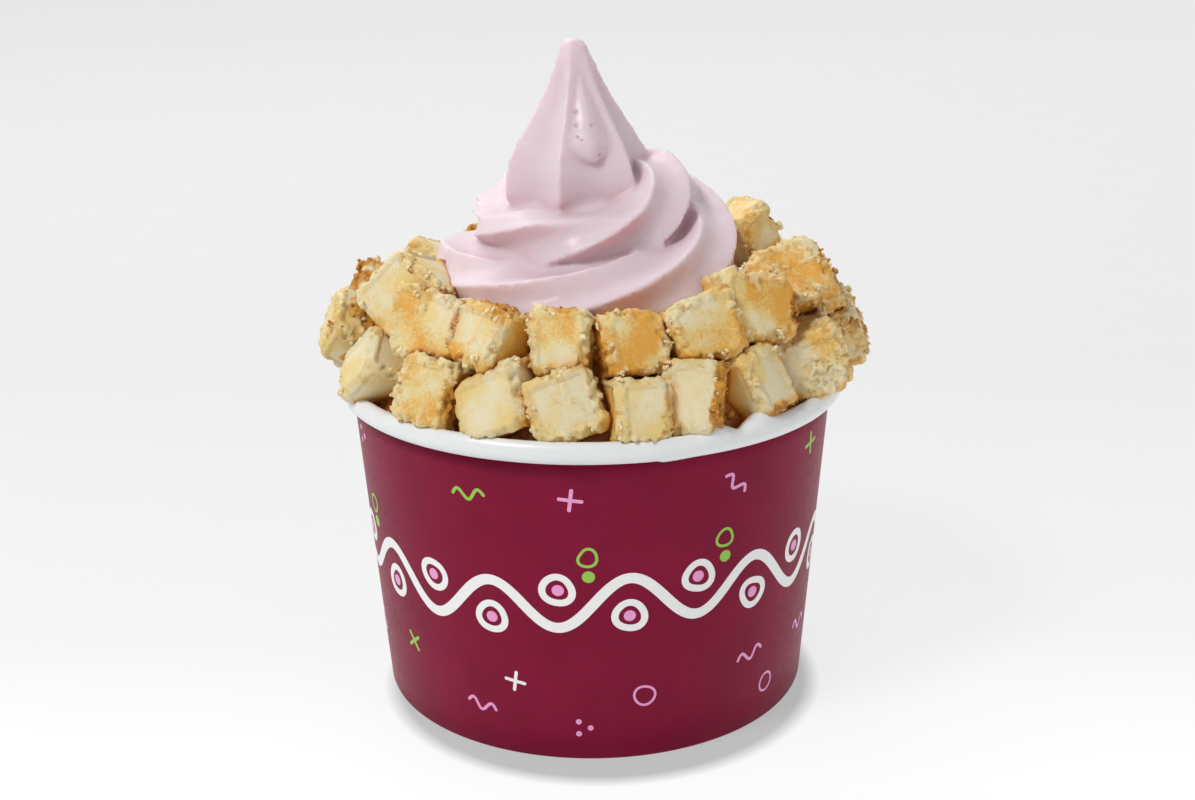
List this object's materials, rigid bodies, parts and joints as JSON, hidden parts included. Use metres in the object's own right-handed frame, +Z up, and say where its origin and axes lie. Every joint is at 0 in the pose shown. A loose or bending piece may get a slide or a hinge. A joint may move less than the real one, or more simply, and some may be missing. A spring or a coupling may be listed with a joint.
{
  "type": "frozen yogurt cup",
  "caption": "Round paper tub heaped with swirled soft-serve frozen yogurt, a tall pulled peak and a ring of cheesecake cubes.",
  "frame": {"origin": "centre of the circle that the tub stands on", "axes": "+Z up, -Y towards the side shown in the picture, +X to that view's right"},
  "size_m": [0.1199, 0.112, 0.1439],
  "materials": {
    "printed_board": "satin",
    "plain_board": "satin",
    "frozen_yogurt": "soft gloss",
    "cheesecake": "matt"
  },
  "bodies": {
    "root": {"bite_high_01": "cheesecake", "bite_high_02": "cheesecake", "bite_high_03": "cheesecake", "bite_high_04": "cheesecake", "bite_high_05": "cheesecake", "bite_high_06": "cheesecake", "bite_high_07": "cheesecake", "bite_high_08": "cheesecake", "bite_high_back_01": "cheesecake", "bite_high_back_02": "cheesecake", "bite_high_back_03": "cheesecake", "bite_high_back_04": "cheesecake", "bite_high_back_05": "cheesecake", "bite_low_01": "cheesecake", "bite_low_02": "cheesecake", "bite_low_03": "cheesecake", "bite_low_04": "cheesecake", "bite_low_05": "cheesecake", "bite_low_06": "cheesecake", "bite_low_07": "cheesecake", "bite_low_08": "cheesecake", "bite_low_back_01": "cheesecake", "bite_low_back_02": "cheesecake", "bite_low_back_03": "cheesecake", "bite_low_back_04": "cheesecake", "bite_low_back_05": "cheesecake", "bite_low_back_06": "cheesecake", "bite_low_back_07": "cheesecake", "bite_low_back_08": "cheesecake", "bite_side_01": "cheesecake", "bite_side_02": "cheesecake", "bite_side_03": "cheesecake", "bite_side_04": "cheesecake", "bite_side_05": "cheesecake", "frozen_yogurt": "frozen_yogurt", "tub_base": "plain_board", "tub_wall": "printed_board"}
  },
  "joints": []
}
